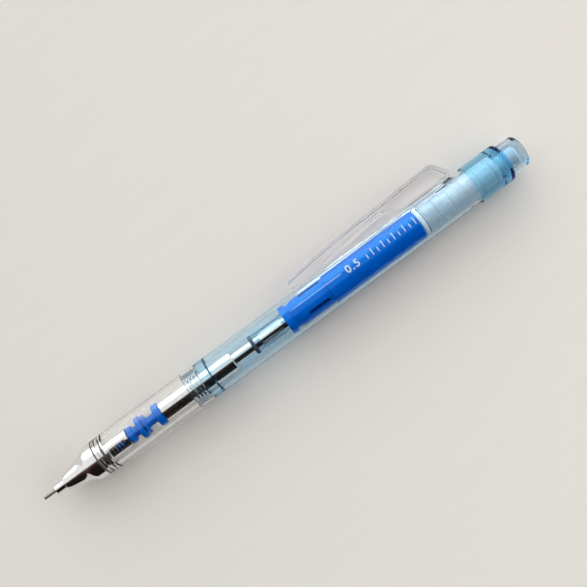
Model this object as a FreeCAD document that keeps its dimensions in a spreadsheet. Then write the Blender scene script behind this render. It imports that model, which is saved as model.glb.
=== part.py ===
import FreeCAD, Part
import math
import os
import Sketcher

# Mechanical pencil with a shake weight and a twist-out eraser.
# Each piece is drawn along +X from the writing tip (x = 0) to the eraser cap, with radii measured from
# the pencil's axis, and is then moved by its Placement so that the pencil lies on a desk: tip towards
# -X, clip towards +Y and turned a little downwards, desk at z = 0, origin at the bottom centre.

V = FreeCAD.Vector
doc = FreeCAD.newDocument("MechanicalPencil")
sheet = doc.addObject("Spreadsheet::Sheet", "Dims")

# ---------------------------------------------------------------------------------- driving dimensions
DIMENSIONS = {
    # along the axis, from the tip, in mm
    "pipeOut": 3.6, "pipeEnd": 9.0, "noseStep": 6.6, "noseMid": 7.9, "noseTaper": 11.9, "noseNeck": 12.9,
    "shoulderEnd": 14.5, "coneEnd": 17.9, "shankEnd": 20.2,
    "retainerEnd": 11.0, "ringStop": 14.2, "ringFront": 15.0, "ringEnd": 18.2,
    "chuckFront": 13.7, "chuckNeck": 16.2, "chuckEnd": 24.5, "slitEnd": 20.0,
    "housingFront": 18.3, "housingSeat": 19.4, "housingEnd": 26.3,
    "windowFront": 20.6, "windowEnd": 25.4,
    "sleeveFront": 22.0, "collarOneFront": 26.5, "collarOneEnd": 27.9,
    "collarTwoFront": 29.6, "collarTwoEnd": 30.9, "collarThinFront": 31.4, "collarThinEnd": 31.9,
    "stopFront": 34.8, "pipeSeat": 35.2, "stopEnd": 36.6, "weightFront": 36.7, "weightEnd": 58.7,
    "rearStopFront": 64.4, "rearStopEnd": 65.4, "connectorEnd": 74.7, "pipeRear": 77.0,
    "tankCollarEnd": 76.4, "tankStep": 88.0, "tankEnd": 115.8, "funnelEnd": 80.0,
    "threadFront": 45.6, "gripTaperEnd": 26.0, "gripEnd": 49.6, "seamEnd": 50.2, "boreStep": 52.0,
    "neckFront": 128.9, "barrelEnd": 132.4,
    "slotFront": 116.2, "slotEnd": 127.4,
    "leadUsed": 45.0, "spareFront": 52.5, "spareEnd": 112.5,
    "plugFront": 113.0, "plugFlange": 115.9, "plugFlangeEnd": 117.0, "guideEnd": 137.2,
    "spiralFront": 117.3, "spiralEnd": 139.5, "spiralTurn": 6.0, "pinAt": 126.5,
    "grooveAt": 120.5,
    "knobFront": 131.9, "knobStep": 135.5, "knobRear": 142.4,
    "nozzleFlangeEnd": 140.4, "nozzleEnd": 145.0,
    "holderFront": 124.5, "holderFloor": 127.5, "holderEnd": 133.0, "eraserEnd": 145.6,
    "capFront": 142.45, "capEnd": 147.5, "overall": 147.5,
    "clipTip": 80.4, "clipNubEnd": 90.5, "clipUnderFront": 101.0, "clipUnderMid": 105.0,
    "clipArch": 107.5, "clipArchEnd": 109.3, "clipBend": 111.3, "clipRoot": 114.5, "clipHigh": 126.4,
    "clipHeel": 125.8, "clipEnd": 130.0, "clipBackRear": 120.0, "clipBackMid": 109.0,
    "clipBackFront": 98.0, "clipNoseBack": 90.0, "clipNoseSlope": 84.5, "footFront": 116.5, "footEnd": 124.2, "shoeFront": 117.6, "shoeEnd": 123.1,
    # radii, in mm
    "leadR": 0.28, "pipeR": 0.4, "pipeBore": 0.3, "noseR": 1.3, "noseStepR": 2.1, "noseMidR": 2.45,
    "noseTaperR": 3.3, "noseNeckR": 3.65, "coneR": 4.85, "shankR": 4.0,
    "retainerR": 1.35, "retainerBore": 0.3, "coneSeatR": 1.7, "housingR": 2.55, "housingBore": 2.3,
    "ringR": 2.0, "ringMouth": 1.28, "ringBore": 0.97, "chuckR": 0.86, "chuckHeadR": 1.2,
    "chuckFaceR": 0.95, "sleeveR": 1.35, "collarOneR": 2.2, "collarTwoR": 3.0, "collarThinR": 2.6,
    "sleeveRearR": 1.3, "sleeveBore": 0.7, "leadPipeR": 1.7, "leadPipeBore": 1.2, "weightR": 2.85,
    "weightBore": 1.8,
    "rearStopR": 2.6, "connectorR": 2.45, "tankCollarR": 3.85, "tankFrontR": 3.65, "tankR": 4.0,
    "tankBore": 3.35, "gripBore": 3.6, "shankBore": 4.03, "threadR": 4.5,
    "threadBore": 4.53, "barrelR": 5.0, "barrelBore": 4.25, "barrelFrontBore": 3.6, "neckR": 4.65,
    "plugR": 3.32, "plugFlangeR": 3.6, "guideR": 3.0, "guideBore": 2.55,
    "spiralR": 3.6, "spiralBore": 3.1, "grooveR": 3.42, "knobR": 5.2, "knobBore": 4.82, "nozzleR": 3.0,
    "nozzleBore": 2.5, "beadR": 3.07, "holderR": 2.42, "eraserR": 2.2, "capR": 4.25, "capBore": 3.13,
    "springR": 1.8, "springWire": 0.15, "pinR": 0.5, "pinReach": 3.32,
    "nubR": 5.3, "nubHeelR": 6.2, "nubNoseR": 5.7, "clipUnderFrontR": 7.27, "clipUnderMidR": 7.72,
    "clipArchR": 7.9, "clipArchEndR": 7.95, "clipRootR": 5.1, "clipHeelR": 5.45, "clipRootSlopeR": 6.1,
    "clipReach": 10.38, "clipBackRearR": 10.3, "clipBackMidR": 9.65, "clipBackFrontR": 9.2,
    "clipNoseBackR": 8.75, "clipNoseSlopeR": 8.2, "clipNoseTopR": 7.6, "clipNoseR": 7.0,
    "shoeR": 4.1, "shoeBore": 3.75,
    # roundings
    "shoulderRound": 0.6, "noseRound": 0.25, "rimRound": 0.12, "collarRound": 0.3, "ringRound": 0.2,
    "tankRound": 0.5, "weightRound": 0.35, "clipRound": 0.5, "knobRound": 1.0, "knobFrontRound": 0.15,
    "eraserRound": 0.4, "capRound": 1.2, "capFrontRound": 0.2,
    # widths and angles
    "clipWidth": 5.0, "clipTipWidth": 4.0, "footWidth": 2.2, "slotWidth": 2.6, "windowWidth": 1.6,
    "ribGapWidth": 1.4, "slitWidth": 0.25, "threadPitch": 0.9,
    "clipRoll": 15.5, "axisHeight": 5.2, "shoeArc": 200.0,
}

for row, (alias, value) in enumerate(DIMENSIONS.items(), start=1):
    sheet.set(f"A{row}", alias)
    sheet.set(f"B{row}", str(value))
    sheet.setAlias(f"B{row}", alias)
doc.recompute()

NODES = []
JAWS = 3
THREAD_TURNS = 4
CONNECTOR_WINDOWS = 4
TANK_RIBS = 4


# ------------------------------------------------------------------------------------------- helpers
def cell(alias):
    """The value of a sheet cell, in mm or degrees."""
    return float(sheet.get(alias))


def origin_plane(body, role):
    """One of a body's own origin planes."""
    return next(item for item in body.Origin.OriginFeatures if item.Role == role)


def new_body(name):
    """An empty body that becomes the node of this name."""
    body = doc.addObject("PartDesign::Body", name)
    body.Label = name
    NODES.append(body)
    return body


def new_sketch(body, name, role="XY_Plane"):
    sketch = body.newObject("Sketcher::SketchObject", name)
    sketch.AttachmentSupport = [(origin_plane(body, role), "")]
    sketch.MapMode = "FlatFace"
    return sketch


def amount(term):
    """The number a term stands for: a number, an alias, (alias, offset) or (alias, offset, factor)."""
    if isinstance(term, tuple):
        factor = term[2] if len(term) == 3 else 1
        return cell(term[0]) * factor + term[1]
    return cell(term) if isinstance(term, str) else float(term)


def formula(term):
    """The same term as an expression on the sheet."""
    if isinstance(term, tuple):
        factor = term[2] if len(term) == 3 else 1
        return f"Dims.{term[0]} * ({factor}) + ({term[1]})"
    return f"Dims.{term}" if isinstance(term, str) else str(term)


def box_outline(front, rear, width):
    """Corners of a rectangle from front to rear, centred across the pencil's axis."""
    near, far = (width, 0, -0.5), (width, 0, 0.5)
    return [(front, near), (rear, near), (rear, far), (front, far)]


def draw_outline(sketch, corners):
    """A closed outline of straight edges whose corners are bound to the sheet."""
    spots = [V(amount(x), amount(y), 0) for x, y in corners]
    first = sketch.GeometryCount
    count = len(spots)
    for i in range(count):
        sketch.addGeometry(Part.LineSegment(spots[i], spots[(i + 1) % count]), False)
    for i in range(count):
        sketch.addConstraint(Sketcher.Constraint("Coincident", first + i, 2, first + (i + 1) % count, 1))
    for i, corner in enumerate(corners):
        for kind, term, value in zip(("DistanceX", "DistanceY"), corner, (spots[i].x, spots[i].y)):
            index = sketch.addConstraint(Sketcher.Constraint(kind, -1, 1, first + i, 1, value))
            if not isinstance(term, (int, float)):
                sketch.setExpression(f"Constraints[{index}]", formula(term))


def turned(name, corners):
    """A turned piece: its half section, spun about the pencil's axis."""
    body = new_body(name)
    sketch = new_sketch(body, name + "_section")
    draw_outline(sketch, corners)
    spin = body.newObject("PartDesign::Revolution", name + "_turned")
    spin.Profile = sketch
    spin.ReferenceAxis = (sketch, ["H_Axis"])
    spin.Angle = 360
    doc.recompute()
    return body


def tube(name, front, rear, outer, bore):
    return turned(name, [(front, bore), (rear, bore), (rear, outer), (front, outer)])


def groove(body, name, corners):
    """A ring cut in a turned piece."""
    sketch = new_sketch(body, name + "_section")
    draw_outline(sketch, corners)
    cut = body.newObject("PartDesign::Groove", name)
    cut.Profile = sketch
    cut.ReferenceAxis = (sketch, ["H_Axis"])
    cut.Angle = 360
    doc.recompute()
    return cut


def row_of(body, feature, name, pitch, count):
    """The feature repeated along the pencil's axis, one pitch apart."""
    pattern = body.newObject("PartDesign::LinearPattern", name)
    pattern.Originals = [feature]
    pattern.Direction = (origin_plane(body, "X_Axis"), [""])
    pattern.Mode = "Spacing"
    pattern.setExpression("Offset", formula(pitch))
    pattern.Occurrences = count
    body.Tip = pattern
    doc.recompute()
    return pattern


def ring_of(body, feature, name, count):
    """The feature repeated round the pencil's axis."""
    pattern = body.newObject("PartDesign::PolarPattern", name)
    pattern.Originals = [feature]
    pattern.Axis = (origin_plane(body, "X_Axis"), [""])
    pattern.Angle = 360
    pattern.Occurrences = count
    body.Tip = pattern
    doc.recompute()
    return pattern


def window(body, name, front, rear, width, depth, role="XY_Plane", reverse=True):
    """A straight window through one side of a wall, from the axis out to depth."""
    sketch = new_sketch(body, name + "_outline", role)
    draw_outline(sketch, box_outline(front, rear, width))
    before = body.Shape.Volume
    cut = body.newObject("PartDesign::Pocket", name)
    cut.Profile = sketch
    cut.Reversed = reverse
    cut.setExpression("Length", formula(depth))
    doc.recompute()
    if body.Shape.Volume >= before:
        raise RuntimeError(f"{name} cut nothing")
    return cut


def round_rims(body, name, radius, places):
    """A fillet, its radius from the sheet, on the full-circle edges at these (x, radius) places."""
    edges = []
    for number, edge in enumerate(body.Shape.Edges, start=1):
        curve = edge.Curve
        if not isinstance(curve, Part.Circle):
            continue
        for x, rim in places:
            if abs(curve.Center.x - amount(x)) < 0.01 and abs(curve.Radius - amount(rim)) < 0.01:
                edges.append(f"Edge{number}")
    base = body.Tip
    fillet = body.newObject("PartDesign::Fillet", name)
    fillet.Base = (base, edges)
    fillet.setExpression("Radius", formula(radius))
    doc.recompute()
    return fillet


# --------------------------------------------------------------------------------- writing end (shell)
def make_tip():
    tube("tip_pipe", 0.0, "pipeEnd", "pipeR", "pipeBore")
    cone = turned("tip_cone", [
        ("pipeOut", "pipeR"), ("pipeEnd", "pipeR"), ("pipeEnd", "retainerR"),
        ("retainerEnd", "retainerR"), ("retainerEnd", "coneSeatR"), ("ringStop", "coneSeatR"),
        ("ringStop", "housingR"), ("shankEnd", "housingR"), ("shankEnd", "shankR"),
        ("coneEnd", "shankR"), ("coneEnd", "coneR"), ("shoulderEnd", "coneR"),
        ("noseNeck", "noseNeckR"), ("noseTaper", "noseTaperR"), ("noseMid", "noseMidR"),
        ("noseStep", "noseStepR"), ("noseStep", "noseR"), ("pipeOut", "noseR")])
    round_rims(cone, "shoulder_round", "shoulderRound", [("shoulderEnd", "coneR")])
    round_rims(cone, "nose_round", "noseRound", [("pipeOut", "noseR")])
    tube("lead_retainer", "pipeEnd", "retainerEnd", "retainerR", "retainerBore")
    housing = turned("chuck_housing", [
        ("housingFront", "ringR"), ("housingSeat", "ringR"), ("housingSeat", "housingBore"),
        ("housingEnd", "housingBore"), ("housingEnd", "housingR"), ("housingFront", "housingR")])
    opening = window(housing, "housing_window", "windowFront", "windowEnd", "windowWidth", "housingR")
    ring_of(housing, opening, "housing_windows", 2)


def make_spring():
    """The return spring: round wire coiled about the chuck, between the housing's seat and the collar."""
    body = new_body("return_spring")
    sketch = new_sketch(body, "spring_wire")
    start = cell("housingSeat") + 0.3
    circle = sketch.addGeometry(Part.Circle(V(start, cell("springR"), 0), V(0, 0, 1), cell("springWire")), False)
    bound = [("DistanceX", start, "Dims.housingSeat + 0.3"), ("DistanceY", cell("springR"), "Dims.springR")]
    for kind, value, expression in bound:
        index = sketch.addConstraint(Sketcher.Constraint(kind, -1, 1, circle, 3, value))
        sketch.setExpression(f"Constraints[{index}]", expression)
    index = sketch.addConstraint(Sketcher.Constraint("Radius", circle, cell("springWire")))
    sketch.setExpression(f"Constraints[{index}]", "Dims.springWire")
    coil = body.newObject("PartDesign::AdditiveHelix", "spring_coil")
    coil.Profile = sketch
    coil.ReferenceAxis = (sketch, ["H_Axis"])
    coil.Mode = "pitch-height-angle"
    coil.setExpression("Pitch", "Dims.threadPitch")
    coil.setExpression("Height", "Dims.collarOneFront - Dims.housingSeat - 0.6")
    doc.recompute()


def make_clutch():
    turned("clutch_ring", [
        ("ringFront", "ringMouth"), ("chuckNeck", "ringMouth"), (("chuckNeck", 0.1), "ringBore"),
        ("ringEnd", "ringBore"), ("ringEnd", ("ringR", -0.05)), ("ringFront", ("ringR", -0.05))])
    chuck = turned("chuck", [
        ("chuckFront", "pipeBore"), ("chuckEnd", "pipeBore"), ("chuckEnd", "chuckR"),
        ("chuckNeck", "chuckR"), ("chuckNeck", "chuckHeadR"), (("chuckNeck", -0.6), "chuckHeadR"),
        ("chuckFront", "chuckFaceR")])
    slit = window(chuck, "slit", ("chuckFront", -1), "slitEnd", "slitWidth", ("chuckHeadR", 0.2))
    ring_of(chuck, slit, "slits", JAWS)
    turned("lead", [(0.0, 0.0), ("leadUsed", 0.0), ("leadUsed", "leadR"), (0.0, "leadR")])


# ---------------------------------------------------------------------------- grip and barrel (shell)
def make_grip_and_barrel():
    grip = turned("front_grip", [
        ("coneEnd", "shankBore"), ("shankEnd", "shankBore"), (("shankEnd", 0.4), "gripBore"),
        (("threadFront", -0.3), "gripBore"), (("threadFront", -0.1), "threadBore"),
        ("gripEnd", "threadBore"), ("gripEnd", "barrelR"), ("gripTaperEnd", "barrelR"),
        ("coneEnd", "coneR")])
    round_rims(grip, "grip_rear_round", "rimRound", [("gripEnd", "barrelR")])
    barrel = turned("barrel", [
        ("threadFront", "barrelFrontBore"), ("boreStep", "barrelFrontBore"),
        (("boreStep", 0.6), "barrelBore"), ("barrelEnd", "barrelBore"), ("barrelEnd", "neckR"),
        ("neckFront", "neckR"), ("neckFront", "barrelR"), ("seamEnd", "barrelR"),
        (("gripEnd", 0.05), ("barrelR", -0.12)),
        (("gripEnd", 0.05), "threadR"), ("threadFront", "threadR")])
    crest, root = ("threadR", 0.1), ("threadR", 0, 0.93)
    front, rear = ("threadFront", 0.35), ("threadFront", 0.85)
    thread = groove(barrel, "thread_groove", [
        (front, "threadR"), (front, crest), (rear, crest), (rear, "threadR"),
        (("threadFront", 0.6), root)])
    row_of(barrel, thread, "thread", "threadPitch", THREAD_TURNS)
    window(barrel, "clip_slot", "slotFront", "slotEnd", "slotWidth", ("barrelR", 0.5), "XZ_Plane", False)


# ------------------------------------------------------------------------------- moving core (push unit)
def make_push_unit():
    sleeve = turned("chuck_sleeve", [
        ("sleeveFront", "chuckR"), ("chuckEnd", "chuckR"), ("chuckEnd", "sleeveBore"),
        ("pipeSeat", "sleeveBore"), ("pipeSeat", "leadPipeR"), ("stopEnd", "leadPipeR"),
        ("stopEnd", "collarTwoR"), ("stopFront", "collarTwoR"), ("stopFront", "sleeveRearR"),
        ("collarThinEnd", "sleeveRearR"), ("collarThinEnd", "collarThinR"),
        ("collarThinFront", "collarThinR"), ("collarThinFront", "sleeveRearR"),
        ("collarTwoEnd", "sleeveRearR"), ("collarTwoEnd", "collarTwoR"),
        ("collarTwoFront", "collarTwoR"), ("collarTwoFront", "sleeveR"), ("collarOneEnd", "sleeveR"),
        ("collarOneEnd", "collarOneR"), ("collarOneFront", "collarOneR"),
        ("collarOneFront", "sleeveR"), ("sleeveFront", "sleeveR")])
    round_rims(sleeve, "stop_round", "collarRound", [("stopEnd", "collarTwoR"), ("stopFront", "collarTwoR"),
                                           ("collarTwoFront", "collarTwoR")])
    tube("lead_pipe", "pipeSeat", "pipeRear", "leadPipeR", "leadPipeBore")
    ring = tube("pipe_stop_ring", "rearStopFront", "rearStopEnd", "rearStopR", "leadPipeR")
    round_rims(ring, "ring_round", "ringRound", [("rearStopFront", "rearStopR"), ("rearStopEnd", "rearStopR")])
    connector = tube("tank_connector", "rearStopEnd", "connectorEnd", "connectorR", "leadPipeR")
    opening = window(connector, "connector_window", ("rearStopEnd", 1.6), ("connectorEnd", -1.2),
                     "windowWidth", "connectorR")
    ring_of(connector, opening, "connector_windows", CONNECTOR_WINDOWS)


def make_tank():
    """The lead tank: funnel at the front, ribbed neck, and an open mouth at the rear."""
    tank = turned("lead_tank", [
        ("connectorEnd", "leadPipeR"), ("pipeRear", "leadPipeR"), ("funnelEnd", "tankBore"),
        ("tankEnd", "tankBore"), ("tankEnd", "tankR"), ("tankStep", "tankR"),
        ("tankStep", "tankFrontR"), ("tankCollarEnd", "tankFrontR"), ("tankCollarEnd", "tankCollarR"),
        ("connectorEnd", "tankCollarR")])
    round_rims(tank, "tank_rear_round", "tankRound", [("tankEnd", "tankR")])
    round_rims(tank, "tank_collar_round", "collarRound", [("connectorEnd", "tankCollarR")])
    gap = window(tank, "rib_gap", ("tankCollarEnd", 0.8), ("tankStep", -1.0), "ribGapWidth",
                 ("tankFrontR", 1))
    ring_of(tank, gap, "rib_gaps", TANK_RIBS)


def make_spare_leads():
    """Three fresh leads lying side by side in the lead pipe and the tank."""
    rods = []
    for number in range(3):
        rod = doc.addObject("Part::Cylinder", f"spare_lead_{number + 1}")
        rod.setExpression("Radius", "Dims.leadR")
        rod.setExpression("Height", "Dims.spareEnd - Dims.spareFront")
        turn = math.radians(120 * number + 90)
        reach = cell("leadR") * 1.25
        rod.Placement = FreeCAD.Placement(
            V(cell("spareFront"), reach * math.cos(turn), reach * math.sin(turn)),
            FreeCAD.Rotation(V(0, 1, 0), 90))
        rods.append(rod)
    group = doc.addObject("Part::Compound", "spare_leads")
    group.Label = "spare_leads"
    group.Links = rods
    NODES.append(group)


def make_weight():
    weight = turned("shake_weight", [
        ("weightFront", "weightBore"), ("weightEnd", "weightBore"), ("weightEnd", "weightR"),
        ("weightFront", "weightR")])
    round_rims(weight, "weight_round", "weightRound", [("weightFront", "weightR"), ("weightEnd", "weightR")])


# ----------------------------------------------------------------------------------------------- clip
def is_outer_rim(edge):
    """True for the clip's long edges on its outer face, away from the barrel."""
    ends = [edge.valueAt(edge.FirstParameter), edge.valueAt(edge.LastParameter)]
    runs_along = abs(ends[0].x - ends[1].x) > 0.05
    line_between = [7.45 + (end.x - cell("clipTip")) * 0.05 for end in ends]
    outside = all(end.y > line and abs(end.z) > 1.5 for end, line in zip(ends, line_between))
    return runs_along and outside


def make_clip():
    body = new_body("clip")
    sketch = new_sketch(body, "clip_side")
    draw_outline(sketch, [
        (("clipTip", 0.4), "nubNoseR"), (("clipTip", 1.2), "nubR"), ("clipNubEnd", "nubR"),
        ("clipNubEnd", "nubHeelR"), ("clipUnderFront", "clipUnderFrontR"),
        ("clipUnderMid", "clipUnderMidR"), ("clipArch", "clipArchR"), ("clipArchEnd", "clipArchEndR"),
        ("clipBend", "clipUnderFrontR"), (("clipRoot", -1.2), "clipRootSlopeR"),
        ("clipRoot", "clipRootR"), ("clipHeel", "clipRootR"), (("clipHeel", 0.4), "clipHeelR"),
        ("clipEnd", "clipHeelR"), ("clipEnd", "clipRootSlopeR"), ("clipHigh", "clipReach"),
        ("clipBackRear", "clipBackRearR"), ("clipBackMid", "clipBackMidR"),
        ("clipBackFront", "clipBackFrontR"), ("clipNoseBack", "clipNoseBackR"),
        ("clipNoseSlope", "clipNoseSlopeR"), (("clipTip", 0.6), "clipNoseTopR"),
        ("clipTip", "clipNoseR")])
    pad = body.newObject("PartDesign::Pad", "clip_pad")
    pad.Profile = sketch
    pad.Midplane = True
    pad.setExpression("Length", "Dims.clipWidth")
    doc.recompute()
    taper_sketch = new_sketch(body, "clip_taper_outline", "XZ_Plane")
    for side in (1, -1):
        wide, narrow = ("clipWidth", 0, side / 2), ("clipTipWidth", 0, side / 2)
        clear = ("clipWidth", 0, side)
        draw_outline(taper_sketch, [(("clipTip", -1), narrow), ("clipRoot", wide),
                                    (("clipRoot", 0.1), clear), (("clipTip", -1), clear)])
    taper = body.newObject("PartDesign::Pocket", "clip_taper")
    taper.Profile = taper_sketch
    taper.Type = "ThroughAll"
    taper.Midplane = True
    doc.recompute()
    edges = [f"Edge{number}" for number, edge in enumerate(body.Shape.Edges, start=1)
             if is_outer_rim(edge)]
    rounding = body.newObject("PartDesign::Fillet", "clip_rounding")
    rounding.Base = (taper, edges)
    rounding.setExpression("Radius", "Dims.clipRound")
    doc.recompute()
    foot_sketch = new_sketch(body, "clip_foot_side")
    draw_outline(foot_sketch, [("footFront", "shoeR"), ("footEnd", "shoeR"), ("footEnd", "nubR"),
                               ("footFront", "nubR")])
    foot = body.newObject("PartDesign::Pad", "clip_foot")
    foot.Profile = foot_sketch
    foot.Midplane = True
    foot.setExpression("Length", "Dims.footWidth")
    doc.recompute()
    # The shoe is a half ring under the foot, inside the barrel.
    shoe = new_body("lock_shoe")
    shoe_sketch = new_sketch(shoe, "shoe_section")
    draw_outline(shoe_sketch, [("shoeFront", "shoeBore"), ("shoeEnd", "shoeBore"), ("shoeEnd", "shoeR"),
                               ("shoeFront", "shoeR")])
    arc = shoe.newObject("PartDesign::Revolution", "shoe_arc")
    arc.Profile = shoe_sketch
    arc.ReferenceAxis = (shoe_sketch, ["H_Axis"])
    arc.Midplane = True
    arc.setExpression("Angle", "Dims.shoeArc")
    doc.recompute()


# ------------------------------------------------------------------------------- twist eraser and cap
def make_eraser_unit():
    guide = turned("eraser_guide", [
        ("plugFront", ("guideBore", -0.6)), ("plugFlangeEnd", ("guideBore", -0.6)),
        (("plugFlangeEnd", 0.6), "guideBore"), ("guideEnd", "guideBore"), ("guideEnd", "guideR"),
        ("plugFlangeEnd", "guideR"), ("plugFlangeEnd", "plugFlangeR"), ("plugFlange", "plugFlangeR"),
        ("plugFlange", "plugR"), (("plugFront", 0.5), "plugR"), ("plugFront", ("plugR", -0.4))])
    window(guide, "guide_track", ("pinAt", -1.2), ("guideEnd", -0.9), "ribGapWidth", ("guideR", 0.2))
    spiral = tube("spiral_tube", "spiralFront", "spiralEnd", "spiralR", "spiralBore")
    thread_sketch = new_sketch(spiral, "spiral_groove_section", "XZ_Plane")
    front, rear = ("grooveAt", -0.75), ("grooveAt", 0.75)
    draw_outline(thread_sketch, [(front, ("spiralBore", -0.2)), (rear, ("spiralBore", -0.2)),
                                 (rear, "grooveR"), (front, "grooveR")])
    helix = spiral.newObject("PartDesign::SubtractiveHelix", "spiral_groove")
    helix.Profile = thread_sketch
    helix.ReferenceAxis = (thread_sketch, ["H_Axis"])
    helix.Mode = "pitch-height-angle"
    helix.setExpression("Pitch", "Dims.spiralTurn")
    helix.setExpression("Height", "Dims.spiralTurn * 3")
    doc.recompute()
    knob = turned("twist_knob", [
        ("knobFront", "knobBore"), ("knobStep", "knobBore"), (("knobStep", 0.3), "spiralR"),
        ("nozzleFlangeEnd", "spiralR"), ("nozzleFlangeEnd", "nozzleR"), ("knobRear", "nozzleR"),
        ("knobRear", "knobR"), ("knobFront", "knobR")])
    round_rims(knob, "knob_rear_round", "knobRound", [("knobRear", "knobR")])
    round_rims(knob, "knob_front_round", "knobFrontRound", [("knobFront", "knobR")])
    turned("eraser_nozzle", [
        ("spiralEnd", "nozzleBore"), ("nozzleEnd", "nozzleBore"), ("nozzleEnd", ("nozzleR", -0.1)),
        (("knobRear", 1.4), ("nozzleR", -0.02)), (("knobRear", 1.2), "beadR"),
        (("knobRear", 0.9), "beadR"), (("knobRear", 0.7), "nozzleR"), ("nozzleFlangeEnd", "nozzleR"),
        ("nozzleFlangeEnd", "spiralR"), ("spiralEnd", "spiralR")])
    holder = turned("eraser_holder", [
        ("holderFront", 0.0), ("holderFloor", 0.0), ("holderFloor", "eraserR"),
        ("holderEnd", "eraserR"), ("holderEnd", "holderR"), ("holderFront", "holderR")])
    pin_sketch = new_sketch(holder, "pin_outline")
    circle = pin_sketch.addGeometry(Part.Circle(V(cell("pinAt"), 0, 0), V(0, 0, 1), cell("pinR")), False)
    index = pin_sketch.addConstraint(Sketcher.Constraint("DistanceX", -1, 1, circle, 3, cell("pinAt")))
    pin_sketch.setExpression(f"Constraints[{index}]", "Dims.pinAt")
    index = pin_sketch.addConstraint(Sketcher.Constraint("Radius", circle, cell("pinR")))
    pin_sketch.setExpression(f"Constraints[{index}]", "Dims.pinR")
    pin_sketch.addConstraint(Sketcher.Constraint("PointOnObject", circle, 3, -1))
    pin = holder.newObject("PartDesign::Pad", "holder_pin")
    pin.Profile = pin_sketch
    pin.setExpression("Length", "Dims.pinReach")
    doc.recompute()
    eraser = turned("eraser", [("holderFloor", 0.0), ("eraserEnd", 0.0), ("eraserEnd", "eraserR"),
                               ("holderFloor", "eraserR")])
    round_rims(eraser, "eraser_round", "eraserRound", [("eraserEnd", "eraserR")])
    cap = turned("eraser_cap", [
        ("capFront", "capBore"), (("capEnd", -1.1), "capBore"), (("capEnd", -0.8), ("capBore", -0.5)),
        (("capEnd", -0.8), 0.0), ("capEnd", 0.0), ("capEnd", "capR"), ("capFront", "capR")])
    round_rims(cap, "cap_dome", "capRound", [("capEnd", "capR")])
    round_rims(cap, "cap_front_round", "capFrontRound", [("capFront", "capR")])


# --------------------------------------------------------------------------------- build, place, export
make_tip()
make_spring()
make_clutch()
make_grip_and_barrel()
make_push_unit()
make_tank()
make_spare_leads()
make_weight()
make_clip()
make_eraser_unit()

roll = math.radians(cell("clipRoll"))
clip_side = cell("clipReach") * math.cos(roll) + cell("clipWidth") / 2 * math.sin(roll)
centre_shift = (cell("knobR") - clip_side) / 2
for node in NODES:
    node.Placement = FreeCAD.Placement(
        V(-cell("overall") / 2, centre_shift, cell("axisHeight")),
        FreeCAD.Rotation(V(1, 0, 0), -cell("clipRoll")))
doc.recompute()

for item in doc.Objects:
    if "Invalid" in item.State or "Error" in item.State:
        raise RuntimeError(f"{item.Name} did not build: {item.State}")
os.makedirs("parts", exist_ok=True)
for node in NODES:
    if node.Shape.isNull() or not node.Shape.isValid():
        raise RuntimeError(f"{node.Label} has no valid shape")
    node.Shape.exportStep(f"parts/{node.Label}.step")
    print(f"{node.Label}: {len(node.Shape.Solids)} solid(s), {node.Shape.Volume:.2f} mm3")
print(len(NODES), "nodes")
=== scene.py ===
import math

import bmesh
import bpy
from mathutils import Matrix, Vector


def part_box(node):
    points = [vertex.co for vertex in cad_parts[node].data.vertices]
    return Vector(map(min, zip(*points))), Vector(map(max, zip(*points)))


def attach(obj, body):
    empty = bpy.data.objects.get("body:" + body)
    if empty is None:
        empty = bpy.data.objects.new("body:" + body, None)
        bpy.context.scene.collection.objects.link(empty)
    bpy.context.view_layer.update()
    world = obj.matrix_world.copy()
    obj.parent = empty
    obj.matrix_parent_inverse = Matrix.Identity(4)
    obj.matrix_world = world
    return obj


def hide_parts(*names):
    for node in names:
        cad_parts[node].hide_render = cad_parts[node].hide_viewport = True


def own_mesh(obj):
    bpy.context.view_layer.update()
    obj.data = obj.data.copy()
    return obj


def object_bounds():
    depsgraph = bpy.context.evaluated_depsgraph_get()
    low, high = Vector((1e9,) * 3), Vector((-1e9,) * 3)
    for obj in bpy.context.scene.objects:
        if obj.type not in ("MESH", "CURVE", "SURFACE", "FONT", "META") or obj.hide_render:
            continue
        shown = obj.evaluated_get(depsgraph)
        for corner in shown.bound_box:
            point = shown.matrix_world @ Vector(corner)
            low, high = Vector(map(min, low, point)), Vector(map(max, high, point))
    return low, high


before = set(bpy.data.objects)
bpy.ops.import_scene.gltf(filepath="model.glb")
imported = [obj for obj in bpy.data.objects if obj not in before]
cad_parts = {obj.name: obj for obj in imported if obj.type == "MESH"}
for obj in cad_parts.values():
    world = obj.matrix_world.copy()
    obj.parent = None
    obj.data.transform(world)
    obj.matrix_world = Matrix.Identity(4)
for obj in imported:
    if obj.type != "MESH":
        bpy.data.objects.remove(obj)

bl_info = {
    "name": "Shaker pencil",
    "version": (1, 0, 0),
    "blender": (4, 5, 0),
    "location": "3D View > Sidebar > Pencil",
    "description": "Builds a clear mechanical pencil with a shake weight and a twist-out eraser",
    "category": "Add Mesh",
}

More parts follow.
